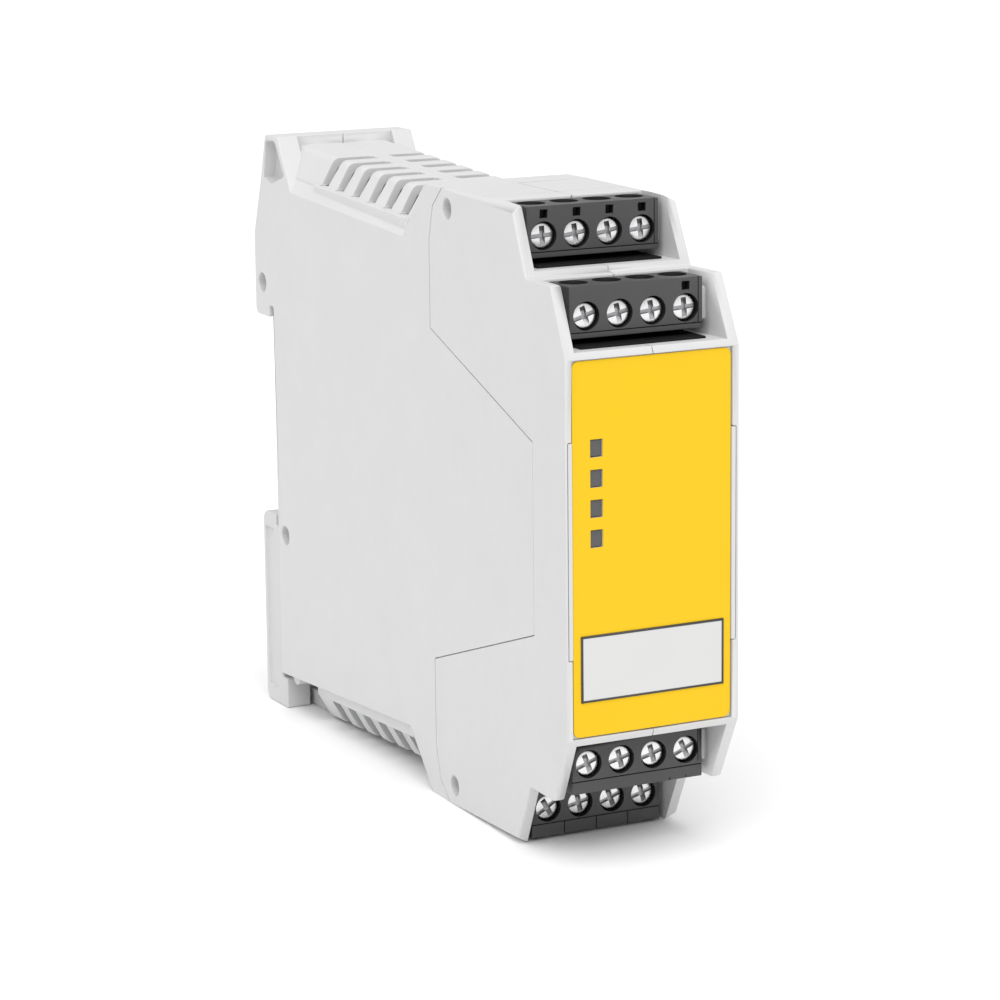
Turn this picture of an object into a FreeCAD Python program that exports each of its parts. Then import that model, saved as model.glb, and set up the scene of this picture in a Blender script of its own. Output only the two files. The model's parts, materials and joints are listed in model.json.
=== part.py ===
import FreeCAD, Part
import math
import os
import Sketcher

os.makedirs("parts", exist_ok=True)
doc = FreeCAD.newDocument("module")

DIMENSIONS = [
    ("depth", 107.4, "front face to the back of the rail hook"),
    ("body_width", 23.1, "width behind the flared front"),
    ("front_width", 26.7, "width of the front face"),
    ("flare_depth", 44.0, "length of the flared front"),
    ("block_half", 44.8, "half height of the front block"),
    ("wall", 1.6, "side wall and roof thickness"),
    ("tier_rise", 9.4, "height from one terminal tier to the next"),
    ("tier_step", 12.0, "depth from one terminal tier to the next"),
    ("tier_lean", 4.4, "how far a tier's cheek leans back"),
    ("bay_height", 8.6, "terminal bay, roof to floor"),
    ("bay_depth", 24.0, "terminal bay, front to back wall"),
    ("bay_floor", 1.0, "floor under a terminal bay"),
    ("bay_back", 1.4, "back wall of a terminal bay"),
    ("bar_setback", 0.4, "bay floor behind the cheek's corner"),
    ("mouth_depth", 6.0, "part of a plug's top left open for wires"),
    ("front_wall", 2.6, "front wall under the cover"),
    ("brow_width", 2.2, "sloped brow along the roof's side edges, width at its front"),
    ("brow_drop", 1.2, "sloped brow along the roof's side edges, drop at its front"),
    ("seam_top", 39.4, "shell seam at the roof, from the front"),
    ("seam_bend", 42.7, "shell seam at its upper bend"),
    ("seam_back", 44.1, "shell seam at its rearmost line"),
    ("seam_bend_drop", 2.8, "roof down to the upper bend"),
    ("seam_back_drop", 7.8, "roof down to the rearmost line"),
    ("seam_low_drop", 20.5, "roof down to the start of the diagonal"),
    ("tongue_front", 10.2, "front end of the rear shell's side panel"),
    ("tongue_corner", 10.9, "start of the diagonal at the panel's end"),
    ("tongue_half", 13.4, "half height of the panel's front end"),
    ("tongue_corner_half", 14.2, "half height at the start of the diagonal"),
    ("slope_start", 45.6, "rear slope of the front block, top"),
    ("slope_end", 53.1, "rear slope of the front block, foot"),
    ("shoulder_front_drop", 8.3, "roof down to the side wall's edge, front"),
    ("shoulder_rear_drop", 5.7, "roof down to the side wall's edge, rear"),
    ("shoulder_rear_inset", 8.0, "side wall's upper edge ends before the back"),
    ("hood_front_drop", 2.1, "vent hood below the roof, front end"),
    ("hood_rear_rise", 0.8, "upper vent hood above the roof, rear end"),
    ("hood_low_drop", 0.3, "lower vent hood above the underside, rear end"),
    ("hood_fall", 4.2, "height of the vent hood's slanted side"),
    ("hood_deep", 9.4, "height of the vent hood with its foot"),
    ("hood_half", 7.6, "half width of the vent hood's flat top"),
    ("hood_round", 1.5, "rounded edge of the vent hood"),
    ("hood_foot_half", 10.0, "half width of the vent hood's foot"),
    ("strip_front_drop", 7.2, "roof down to the side strip's inner edge, front"),
    ("strip_rear_drop", 3.7, "roof down to the side strip's inner edge, rear"),
    ("strip_low_drop", 5.3, "underside up to the lower strip's inner edge, rear"),
    ("ledge_proud", 0.55, "ledge under the vent ribs, beyond the hood's foot"),
    ("ledge_start", 0.4, "ledge starts before the first vent slot"),
    ("ledge_tail", 1.4, "ledge ends behind the last vent slot"),
    ("hood_wall", 1.6, "vent hood thickness"),
    ("hood_rear_inset", 5.5, "upper vent hood ends before the back"),
    ("lower_hood_inset", 17.4, "lower vent hood ends before the back"),
    ("cavity_inset", 10.6, "inner space ends before the back"),
    ("slot_first", 54.3, "first vent slot from the front"),
    ("slot_pitch", 5.55, "vent slot pitch"),
    ("slot_width", 2.8, "vent slot width"),
    ("spine_half", 1.4, "half width of the vent spine"),
    ("cheek_rise", 2.1, "hook cheeks above the roof"),
    ("cheek_inner_half", 8.1, "inner face of the hook cheeks"),
    ("cheek_back_inset", 5.1, "cheek top ends before the back"),
    ("cheek_top_inset", 9.8, "cheek top starts before the back"),
    ("cheek_foot_inset", 14.8, "cheek foot starts before the back"),
    ("cheek_foot_drop", 6.3, "roof down to the cheek's foot"),
    ("cheek_heel", 2.3, "how far the cheek's back leans out"),
    ("cheek_pocket", 2.2, "depth of the pocket in a hook cheek"),
    ("cheek_rim", 1.0, "rim above and before the pocket"),
    ("cheek_hole", 0.9, "radius and depth of the hole in the pocket"),
    ("cheek_hole_inset", 10.1, "hole in the pocket before the back"),
    ("cheek_hole_drop", 1.9, "hole in the pocket below the roof"),
    ("pocket_front", 2.8, "pocket's front corner behind the cheek's foot"),
    ("pocket_front_drop", 3.8, "roof down to the pocket's front corner"),
    ("pocket_low", 1.7, "pocket's lowest corner before the cheek's back"),
    ("pocket_low_drop", 5.4, "roof down to the pocket's lowest corner"),
    ("pocket_heel", 0.9, "pocket's rear corner behind the cheek's top"),
    ("pocket_heel_drop", 4.8, "roof down to the pocket's rear corner"),
    ("rear_wall_inset", 9.4, "hook's cross wall starts before the back"),
    ("hook_height", 13.8, "roof down to the hook's upper corner"),
    ("rail_width", 35.0, "rail across its flanges"),
    ("rail_middle", 2.3, "rail's middle above the module's middle"),
    ("rail_bite", 1.6, "lip over each rail flange"),
    ("rail_play", 0.2, "clearance at the rail's edge"),
    ("lip_round", 1.2, "rounded corner of the hook's lip"),
    ("recess_depth", 6.7, "rail recess from the back"),
    ("flange_slot", 1.5, "slot for the rail's flange"),
    ("dowel_radius", 1.5, "socket radius"),
    ("dowel_depth", 2.6, "socket depth"),
    ("dowel_boss", 2.3, "boss radius round a socket"),
    ("front_dowel_y", 37.9, "front sockets from the front"),
    ("front_dowel_drop", 2.8, "front sockets below the roof"),
    ("hook_dowel_inset", 2.6, "hook socket before the back"),
    ("hook_dowel_up", 23.4, "hook socket above the middle"),
    ("rear_dowel_inset", 9.4, "lower rear socket before the back"),
    ("rear_dowel_down", 16.3, "lower rear socket below the middle"),
    ("nub_radius", 1.2, "stop nub under the rear"),
    ("nub_inset", 11.0, "stop nub before the back"),
    ("nub_length", 4.0, "stop nub length"),
    ("pole_pitch", 5.08, "terminal pitch"),
    ("plug_half", 10.2, "half width of a plug"),
    ("plug_setback", 0.1, "plug face behind the cheek's corner"),
    ("plug_depth", 15.0, "plug length"),
    ("plug_drop", 0.4, "plug top below the tier's top"),
    ("plug_height", 7.1, "plug height"),
    ("plug_tail_drop", 2.2, "rear of the plug below the tier's top"),
    ("screw_drop", 4.5, "screw axis below the tier's top"),
    ("head_radius", 1.65, "screw head radius"),
    ("head_height", 1.3, "screw head height"),
    ("head_sink", 0.5, "screw head behind the plug's face"),
    ("well_radius", 1.95, "screw well radius"),
    ("shank_radius", 1.2, "screw shank radius"),
    ("shank_length", 3.25, "screw shank length"),
    ("shank_play", 0.12, "clearance round the shank"),
    ("slot_cut", 0.6, "driver slot width"),
    ("slot_deep", 0.7, "driver slot depth"),
    ("cross_half", 1.15, "half length of the cross cut"),
    ("chamber_wall", 0.8, "wall between the head and the clamp"),
    ("chamber_half", 1.75, "half width of a clamp chamber"),
    ("chamber_rise", 2.2, "half height of a clamp chamber"),
    ("chamber_depth", 6.0, "length of a clamp chamber"),
    ("cage_play", 0.15, "clearance beside a clamp cage"),
    ("cage_rise", 1.9, "half height of a clamp cage"),
    ("cage_length", 4.6, "length of a clamp cage"),
    ("cage_wall", 0.7, "clamp cage thickness"),
    ("funnel_top", 2.0, "wire funnel radius at the top"),
    ("funnel_low", 1.5, "wire funnel radius at the clamp"),
    ("funnel_back", 3.7, "wire funnel behind the plug's face"),
    ("window_half", 0.55, "half size of a test window"),
    ("window_rise", 3.0, "test window above the screw"),
    ("window_deep", 1.2, "test window depth"),
    ("socket_half", 0.65, "half size of a pin socket"),
    ("pin_half", 0.5, "half size of a header pin"),
    ("pin_length", 5.6, "header pin length"),
    ("header_half", 8.9, "half width of a header"),
    ("header_depth", 4.2, "header depth"),
    ("header_low", 0.2, "header above the bay's floor"),
    ("header_top", 2.0, "header below the tier's top"),
    ("tail_half", 8.2, "half width of a header's tail"),
    ("tail_rise", 1.4, "half height of a header's tail"),
    ("tail_length", 3.2, "header tail behind the bay"),
    ("tail_play", 0.2, "clearance round a header's tail"),
    ("cover_half", 12.3, "half width of the front cover"),
    ("cover_drop", 0.2, "cover below the face's edge"),
    ("cover_thickness", 1.0, "front cover thickness"),
    ("cover_play", 0.1, "clearance round the front cover"),
    ("cover_tab_half", 12.9, "half width over the cover's tabs"),
    ("cover_tab_rise", 14.8, "half height of the cover's tabs"),
    ("cover_tab_sink", 0.05, "face of the cover's tabs behind the front face"),
    ("cover_sink", 0.5, "cover's face behind the front face"),
    ("label_half", 12.2, "half width of the label"),
    ("label_drop", 0.3, "label below the face's edge"),
    ("label_thickness", 0.25, "label thickness"),
    ("label_round", 1.0, "label corner radius"),
    ("plate_half", 11.05, "half width of the writing plate"),
    ("plate_top", 11.7, "writing plate's top below the middle"),
    ("plate_height", 9.2, "writing plate height"),
    ("plate_thickness", 0.12, "writing plate thickness"),
    ("lamp_side", 8.5, "lamp windows left of the middle"),
    ("lamp_width", 1.9, "lamp window width"),
    ("lamp_height", 2.45, "lamp window height"),
    ("lamp_pitch", 4.1, "lamp window pitch"),
    ("lamp_low", 1.5, "lowest lamp window above the middle"),
    ("lamp_play", 0.1, "clearance round a light guide"),
    ("lamp_sink", 0.3, "light guide behind the label"),
    ("guide_margin", 1.0, "light guide plate beyond its prongs"),
    ("guide_plate", 0.8, "light guide plate thickness"),
    ("board_half", 0.8, "half thickness of the circuit board"),
    ("board_front", 8.0, "board's front edge"),
    ("board_front_drop", 19.8, "roof down to the board's front part"),
    ("board_wing_drop", 10.4, "roof down to the board's middle part"),
    ("board_back_drop", 4.6, "roof down to the board's rear part"),
    ("board_low_rise", 11.8, "underside up to the board at the latch"),
    ("board_low_inset", 22.0, "board's low step before the back"),
    ("board_back_inset", 11.6, "board's rear edge before the back"),
    ("chip_size", 14.0, "processor edge length"),
    ("chip_height", 1.4, "processor height"),
    ("chip_y", 50.0, "processor from the front"),
    ("capacitor_radius", 4.0, "capacitor radius"),
    ("capacitor_length", 12.0, "capacitor length"),
    ("capacitor_inset", 29.4, "capacitor starts before the back"),
    ("capacitor_down", 24.0, "capacitor below the middle"),
    ("latch_half", 11.3, "half width of the rail latch"),
    ("latch_gap", 0.2, "clearance in front of the latch"),
    ("latch_back", 0.2, "latch before the back of the hook"),
    ("latch_round", 1.6, "rounded corners of the latch"),
    ("panel_deep", 0.4, "depth of the panel in the latch's side"),
    ("panel_margin", 0.9, "rim round the panel in the latch's side"),
    ("leg_inner_half", 7.2, "inner face of the latch legs"),
    ("leg_depth", 1.6, "latch legs forward of the rear wall"),
    ("leg_gap", 0.4, "latch legs below the side strips"),
    ("foot_half", 6.5, "half width of the latch foot"),
    ("foot_depth", 7.4, "latch foot forward of the rear wall"),
    ("foot_height", 2.6, "latch foot height"),
    ("foot_slot_half", 2.6, "half width of the driver slot in the foot"),
    ("foot_slot", 1.4, "driver slot in the foot"),
    ("foot_slot_edge", 1.6, "driver slot behind the foot's edge"),
    ("key_half", 1.4, "half width of the latch key"),
    ("key_depth", 2.4, "latch key length into the wall"),
    ("key_top", 19.0, "latch key below the middle"),
    ("key_height", 4.0, "latch key height"),
    ("keyway_play", 0.2, "clearance beside the key"),
    ("keyway_floor", 3.5, "keyway's floor above the side wall's lower edge"),
    ("spring_half", 1.1, "half width of the latch spring"),
    ("spring_gauge", 0.3, "latch spring thickness"),
    ("spring_sway", 1.7, "latch spring wave height"),
    ("rib_front", 6.0, "guide rib behind the tier's front"),
    ("rib_depth", 2.2, "guide rib depth"),
    ("rib_play", 0.25, "guide rib clearance from the plug"),
    ("rib_low", 6.6, "guide rib's foot below the tier's top"),
    ("rib_height", 4.4, "guide rib height"),
]

sheet = doc.addObject("Spreadsheet::Sheet", "Sizes")
for row, (alias, value, note) in enumerate(DIMENSIONS, 1):
    sheet.set("A%d" % row, note)
    sheet.set("B%d" % row, str(value))
    sheet.setAlias("B%d" % row, alias)
doc.recompute()


class Size:
    """A length that keeps its value together with the sheet formula behind it."""

    def __init__(self, text, value):
        self.text = text
        self.value = value

    def __add__(self, other):
        return Size("(%s + %s)" % (self.text, size(other).text), self.value + size(other).value)

    def __sub__(self, other):
        return Size("(%s - %s)" % (self.text, size(other).text), self.value - size(other).value)

    def __mul__(self, other):
        return Size("(%s * %s)" % (self.text, size(other).text), self.value * size(other).value)

    def __truediv__(self, other):
        return Size("(%s / %s)" % (self.text, size(other).text), self.value / size(other).value)

    def __neg__(self):
        return Size("(0 - %s)" % self.text, -self.value)

    def __lt__(self, other):
        return self.value < other.value


def size(number):
    """Turn a plain number into a Size."""
    if isinstance(number, Size):
        return number
    return Size(repr(float(number)), float(number))


class Table:
    """The sheet's sizes as attributes."""


D = Table()
for alias, value, note in DIMENSIONS:
    setattr(D, alias, Size("Sizes.%s" % alias, float(sheet.get(alias))))

ZERO = size(0)
TOUCH = 0.001
ORIGIN_Y = D.depth / 2
MIDDLE = D.block_half
BODY_HALF = D.body_width / 2
FRONT_HALF = D.front_width / 2
nodes = []


def place(obj, x, y, z):
    """Bind an object's position; y is counted from the front face."""
    obj.setExpression("Placement.Base.x", size(x).text)
    obj.setExpression("Placement.Base.y", (size(y) - ORIGIN_Y).text)
    obj.setExpression("Placement.Base.z", size(z).text)


def box(name, x0, x1, y0, y1, z0, z1):
    """A box between two corners."""
    obj = doc.addObject("Part::Box", name)
    obj.setExpression("Length", (size(x1) - x0).text)
    obj.setExpression("Width", (size(y1) - y0).text)
    obj.setExpression("Height", (size(z1) - z0).text)
    place(obj, x0, y0, z0)
    return obj


TURNS = {
    "x": FreeCAD.Rotation(FreeCAD.Vector(0, 1, 0), 90),
    "y": FreeCAD.Rotation(FreeCAD.Vector(1, 0, 0), -90),
    "z": FreeCAD.Rotation(),
}


def rod(name, axis, x, y, z, radius, length):
    """A cylinder that starts at a point and runs along an axis."""
    obj = doc.addObject("Part::Cylinder", name)
    obj.Placement.Rotation = TURNS[axis]
    obj.setExpression("Radius", size(radius).text)
    obj.setExpression("Height", size(length).text)
    place(obj, x, y, z)
    return obj


def turned_box(name, x, y0, y1, z, length, height, angle):
    """A box centred on a point of an axis along the depth and turned about that axis."""
    obj = doc.addObject("Part::Box", name)
    obj.Placement.Rotation = FreeCAD.Rotation(FreeCAD.Vector(0, 1, 0), angle)
    obj.setExpression("Length", length.text)
    obj.setExpression("Width", (y1 - y0).text)
    obj.setExpression("Height", height.text)
    cosine = math.cos(math.radians(angle))
    sine = math.sin(math.radians(angle))
    place(obj, x - length / 2 * cosine - height / 2 * sine, y0, z + length / 2 * sine - height / 2 * cosine)
    return obj


PLANES = {"x": "YZ_Plane", "y": "XZ_Plane", "z": "XY_Plane"}


def outline(body, name, axis, offset, points):
    """A closed polygon on a plane of the body, one formula for each coordinate."""
    sketch = body.newObject("Sketcher::SketchObject", name)
    plane = [item for item in body.Origin.OriginFeatures if item.Role == PLANES[axis]][0]
    sketch.AttachmentSupport = (plane, [""])
    sketch.MapMode = "FlatFace"
    shift = -size(offset) if axis == "y" else size(offset)
    sketch.setExpression("AttachmentOffset.Base.z", shift.text)
    count = len(points)
    corners = [FreeCAD.Vector(size(a).value, size(b).value, 0) for a, b in points]
    for i in range(count):
        sketch.addGeometry(Part.LineSegment(corners[i], corners[(i + 1) % count]))
    for i in range(count):
        sketch.addConstraint(Sketcher.Constraint("Coincident", i, 2, (i + 1) % count, 1))
    for i, pair in enumerate(points):
        for kind, part in zip(("DistanceX", "DistanceY"), pair):
            part = size(part)
            index = sketch.addConstraint(Sketcher.Constraint(kind, -1, 1, i, 1, part.value))
            sketch.setExpression("Constraints[%d]" % index, part.text)
    return sketch


def corner_edge(feature, axis, point):
    """The name of a solid's edge that runs along an axis through a corner of its outline."""
    across = [i for i in range(3) if "xyz"[i] != axis]
    wanted = [size(part).value for part in point]
    for number, edge in enumerate(feature.Shape.Edges, 1):
        ends = [vertex.Point for vertex in edge.Vertexes]
        if all(abs(end[i] - value) < TOUCH for end in ends for i, value in zip(across, wanted)):
            return "Edge%d" % number
    raise RuntimeError("no edge at a corner of %s" % feature.Name)


def prism(name, axis, start, end, points, rounds=()):
    """A polygon padded along an axis from start to end, with some of its corners rounded."""
    body = doc.addObject("PartDesign::Body", name)
    sketch = outline(body, name + "_outline", axis, start, points)
    pad = body.newObject("PartDesign::Pad", name + "_pad")
    pad.Profile = sketch
    pad.setExpression("Length", (size(end) - start).text)
    pad.Reversed = axis == "y"
    tip = pad
    for corner, radius in rounds:
        doc.recompute()
        fillet = body.newObject("PartDesign::Fillet", "%s_round_%d" % (name, corner))
        fillet.Base = (tip, [corner_edge(tip, axis, points[corner])])
        fillet.setExpression("Radius", radius.text)
        tip = fillet
    place(body, 0, 0, 0)
    return body


def climbing(body, side, y, z, rise):
    """Stand a body at a depth and a height and let it climb with the depth, or fall on side -1."""
    angle = math.degrees(math.atan(rise.value))
    body.Placement.Rotation = FreeCAD.Rotation(FreeCAD.Vector(side, 0, 0), angle)
    body.setExpression("Placement.Rotation.Angle", "atan(%s)" % rise.text)
    place(body, 0, y, z)
    return body


def loft(name, sections):
    """A ruled solid between two polygons that stand across the depth."""
    body = doc.addObject("PartDesign::Body", name)
    sketches = [outline(body, "%s_%d" % (name, i), "y", y, points) for i, (y, points) in enumerate(sections)]
    skin = body.newObject("PartDesign::AdditiveLoft", name + "_loft")
    skin.Profile = sketches[0]
    skin.Sections = sketches[1:]
    skin.Ruled = True
    place(body, 0, 0, 0)
    return body


def fuse(name, shapes):
    """Join several shapes into one."""
    obj = doc.addObject("Part::MultiFuse", name)
    obj.Shapes = shapes
    obj.Refine = True
    return obj


def cut(name, base, tools):
    """Take one or more tools away from a base."""
    obj = doc.addObject("Part::Cut", name)
    obj.Base = base
    obj.Tool = fuse(name + "_tools", tools) if len(tools) > 1 else tools[0]
    obj.Refine = True
    return obj


def common(name, first, second):
    """What two shapes share."""
    obj = doc.addObject("Part::Common", name)
    obj.Base = first
    obj.Tool = second
    return obj


def mirrored(name, source):
    """The mirror image across the middle plane."""
    obj = doc.addObject("Part::Mirroring", name)
    obj.Source = source
    obj.Normal = FreeCAD.Vector(1, 0, 0)
    return obj


def node(name, obj):
    """Keep a shape as a sub-part of its own."""
    obj.Label = name
    nodes.append((name, obj))


def both_ways(points):
    """Close an upper half outline with its mirror image below the middle."""
    upper = [(y, MIDDLE + z) for y, z in points]
    lower = [(y, MIDDLE - z) for y, z in reversed(points)]
    return upper + lower


def level(side, low, high):
    """Two heights measured from the middle, up for side 1 and down for side -1."""
    if side > 0:
        return MIDDLE + low, MIDDLE + high
    return MIDDLE - high, MIDDLE - low


def turned(side, points):
    """An outline with its heights counted from the middle, up for side 1 and down for side -1."""
    return [(across, MIDDLE + z if side > 0 else MIDDLE - z) for across, z in points]


def half_at(y):
    """Half the flared front's width at a depth."""
    return FRONT_HALF - (FRONT_HALF - BODY_HALF) * (y / D.flare_depth)


def plan(name, inset):
    """The right half of the housing seen from above, drawn in by an inset."""
    points = [
        (ZERO, ZERO),
        (FRONT_HALF - inset, ZERO),
        (BODY_HALF - inset, D.flare_depth),
        (BODY_HALF - inset, D.depth),
        (ZERO, D.depth),
    ]
    return prism(name, "z", ZERO, D.block_half * 2 + D.cheek_rise, points)


TIERS = [("front", ZERO, D.block_half - D.tier_rise), ("rear", D.tier_step, D.block_half)]
SIDES = [("upper", 1), ("lower", -1)]
POLES = [-1.5, -0.5, 0.5, 1.5]
SCREW_TURNS = {
    "upper_front": [-18, -12, -8, -4],
    "upper_rear": [-3, -8, -10, -6],
    "lower_front": [-20, -14, -16, -24],
    "lower_rear": [-30, -12, -20, -16],
}
FACE = D.block_half - D.tier_rise * 2

seam = [
    (D.seam_top, D.block_half),
    (D.seam_bend, D.block_half - D.seam_bend_drop),
    (D.seam_back, D.block_half - D.seam_back_drop),
    (D.seam_back, D.block_half - D.seam_low_drop),
    (D.tongue_corner, D.tongue_corner_half),
    (D.tongue_front, D.tongue_half),
]

# Front shell, right half: stepped cheeks, two bays above and two below, and the front wall.
front_profile = [
    (ZERO, FACE),
    (D.tier_lean, D.block_half - D.tier_rise),
    (D.tier_step, D.block_half - D.tier_rise),
    (D.tier_step + D.tier_lean, D.block_half),
] + seam
outer_front = common(
    "front_outer",
    plan("front_plan", ZERO),
    prism("front_side", "x", ZERO, FRONT_HALF, both_ways(front_profile)),
)
ribs = []
inner = []
for side_name, side in SIDES:
    for tier_name, tier_y, tier_top in TIERS:
        tag = "%s_%s" % (side_name, tier_name)
        mouth = tier_y + D.tier_lean + D.plug_setback + D.mouth_depth
        floor = tier_top - D.bay_height
        bay = [
            (tier_y + D.bar_setback, floor),
            (tier_y + D.bay_depth, floor),
            (tier_y + D.bay_depth, tier_top - D.wall),
            (mouth, tier_top - D.wall),
            (mouth, tier_top),
            (tier_y + D.bar_setback, tier_top),
        ]
        inner.append(prism("bay_" + tag, "x", ZERO, FRONT_HALF, turned(side, bay)))
        low, high = level(side, tier_top - D.screw_drop - D.tail_rise - D.tail_play,
                          tier_top - D.screw_drop + D.tail_rise + D.tail_play)
        inner.append(box("tail_way_" + tag, ZERO, D.tail_half + D.tail_play, tier_y + D.bay_depth,
                         tier_y + D.bay_depth + D.bay_back, low, high))
        low, high = level(side, tier_top - D.rib_low, tier_top - D.rib_low + D.rib_height)
        rib_y = tier_y + D.rib_front
        ribs.append(box("rib_" + tag, D.plug_half + D.rib_play, half_at(rib_y) - D.wall / 2, rib_y,
                        rib_y + D.rib_depth, low, high))
    roof = D.block_half - D.tier_rise - D.bay_height - D.bay_floor
    space = [
        (D.bay_depth + D.bay_back, roof),
        (D.bay_depth + D.bay_back, D.block_half - D.bay_height - D.bay_floor),
        (D.tier_step + D.bay_depth + D.bay_back, D.block_half - D.bay_height - D.bay_floor),
        (D.tier_step + D.bay_depth + D.bay_back, D.block_half - D.wall),
        (D.slope_start, D.block_half - D.wall),
        (D.slope_start, roof),
    ]
    inner.append(prism("front_space_" + side_name, "x", ZERO, FRONT_HALF, turned(side, space)))
roof = D.block_half - D.tier_rise - D.bay_height - D.bay_floor
inner.append(prism("front_space", "x", ZERO, FRONT_HALF,
                   both_ways([(D.front_wall, roof), (D.slope_start, roof)])))
front_hollow = common("front_hollow", plan("front_inner_plan", D.wall), fuse("front_spaces", inner))


# The share of the brow that is left where it runs out at the seam.
BROW_TAIL = 0.05


def brow(y, share):
    """A triangle over the roof's side edge at a depth, by the share of the brow cut there."""
    half = half_at(y)
    width = D.brow_width * share
    drop = D.brow_drop * share
    return [
        (half + width / 2, D.block_half + drop / 2),
        (half - width * 3 / 2, D.block_half + drop / 2),
        (half + width / 2, D.block_half - drop * 3 / 2),
    ]


cover_back = D.cover_sink + D.cover_thickness
front_tools = [
    loft("brow_" + side_name, [(D.tier_step, turned(side, brow(D.tier_step, 1))),
                               (D.seam_top, turned(side, brow(D.seam_top, BROW_TAIL)))])
    for side_name, side in SIDES
] + [
    front_hollow,
    box("cover_seat", ZERO, D.cover_half + D.cover_play, ZERO, cover_back,
        MIDDLE - FACE + D.cover_drop - D.cover_play, MIDDLE + FACE - D.cover_drop + D.cover_play),
    box("cover_tab_seat", ZERO, D.cover_tab_half + D.cover_play, ZERO, cover_back,
        MIDDLE - D.cover_tab_rise - D.cover_play, MIDDLE + D.cover_tab_rise + D.cover_play),
]
front_bare = cut("front_bare", outer_front, front_tools)
front_bosses = []
front_sockets = []
for side_name, side in SIDES:
    height = MIDDLE + (D.block_half - D.front_dowel_drop) * side
    front_bosses.append(rod("front_boss_" + side_name, "x", D.header_half + D.tail_play, D.front_dowel_y,
                            height, D.dowel_boss, BODY_HALF - D.header_half - D.tail_play))
    front_sockets.append(rod("front_socket_" + side_name, "x", BODY_HALF - D.dowel_depth + D.cage_play,
                             D.front_dowel_y, height, D.dowel_radius, D.dowel_depth * 2))
front_right = cut("front_right", fuse("front_joined", [front_bare] + front_bosses + ribs), front_sockets)
node("front_shell_right", front_right)

# Rear shell, right half: side panel, vent hoods, rail hook and the keyway of the latch.
rail_top = D.rail_middle + D.rail_width / 2
back_lip = D.depth - D.recess_depth + D.flange_slot
recess = D.depth - D.recess_depth
edge_front = D.block_half - D.shoulder_front_drop
edge_rear = D.block_half - D.shoulder_rear_drop
edge_end = D.depth - D.shoulder_rear_inset
corner = D.block_half - D.hook_height
rear_upper = [(y, MIDDLE + z) for y, z in reversed(seam)] + [
    (D.slope_start, MIDDLE + D.block_half),
    (D.slope_end, MIDDLE + edge_front),
    (edge_end, MIDDLE + edge_rear),
    (D.depth - D.cheek_back_inset + D.cheek_heel, MIDDLE + edge_rear),
    (D.depth, MIDDLE + corner),
    (D.depth, MIDDLE + rail_top - D.rail_bite),
    (back_lip, MIDDLE + rail_top - D.rail_bite),
    (back_lip, MIDDLE + rail_top + D.rail_play),
    (recess, MIDDLE + rail_top + D.rail_play),
]
rear_lower = [
    (recess, MIDDLE - edge_rear),
    (edge_end, MIDDLE - edge_rear),
    (D.slope_end, MIDDLE - edge_front),
    (D.slope_start, MIDDLE - D.block_half),
] + [(y, MIDDLE - z) for y, z in seam]
rear_slab = common(
    "rear_slab",
    plan("rear_plan", ZERO),
    prism("rear_side", "x", ZERO, FRONT_HALF, rear_upper + rear_lower, [(len(seam) + 5, D.lip_round)]),
)
hood_front = D.block_half - D.hood_front_drop
HOOD_END = {1: D.depth - D.hood_rear_inset, -1: D.depth - D.lower_hood_inset}
HOOD_CLIMB = {1: D.hood_rear_rise + D.hood_front_drop, -1: D.hood_front_drop - D.hood_low_drop}
HOOD_RISE = {side: HOOD_CLIMB[side] / (HOOD_END[side] - D.slope_start) for name, side in SIDES}


def hood_top(side, y):
    """Height of a vent hood's top over the middle at a depth."""
    return hood_front + HOOD_RISE[side] * (y - D.slope_start)


def hood(name, side):
    """Right half of a vent hood with a rounded shoulder."""
    section = [
        (ZERO, -D.hood_deep),
        (D.hood_foot_half, -D.hood_deep),
        (D.hood_foot_half, -D.hood_fall),
        (D.hood_half, ZERO),
        (ZERO, ZERO),
    ]
    if side < 0:
        section = [(x, -z) for x, z in section]
    body = prism(name, "y", ZERO, HOOD_END[side] - D.slope_start, section, [(3, D.hood_round)])
    return climbing(body, side, D.slope_start, MIDDLE + hood_front * side, HOOD_RISE[side])


def hood_space(side, y):
    """Right half of the space under a vent hood, cut across at a depth."""
    top = hood_top(side, y)
    return y, turned(side, [
        (ZERO, ZERO),
        (D.hood_foot_half - D.hood_wall, ZERO),
        (D.hood_foot_half - D.hood_wall, top - D.hood_fall),
        (D.hood_half - D.hood_wall / 2, top - D.hood_wall),
        (ZERO, top - D.hood_wall),
    ])


def strip_section(side, y, edge, drop):
    """Sloped strip between the side wall's edge and the vent hood, cut across at a depth."""
    return y, turned(side, [
        (D.hood_half, edge_front - D.wall),
        (BODY_HALF, edge_front - D.wall),
        (BODY_HALF, edge),
        (D.hood_foot_half, D.block_half - drop),
        (D.hood_half, D.block_half - drop),
    ])


def ledge_section(side, y):
    """Ledge that the vent ribs stand on, cut across at a depth."""
    foot = hood_top(side, y) - D.hood_fall
    outer = D.hood_foot_half + D.ledge_proud
    return y, turned(side, [
        (D.hood_foot_half - D.ledge_proud, edge_front - D.wall),
        (outer, edge_front - D.wall),
        (outer, foot),
        (D.hood_foot_half - D.ledge_proud, foot),
    ])


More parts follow.
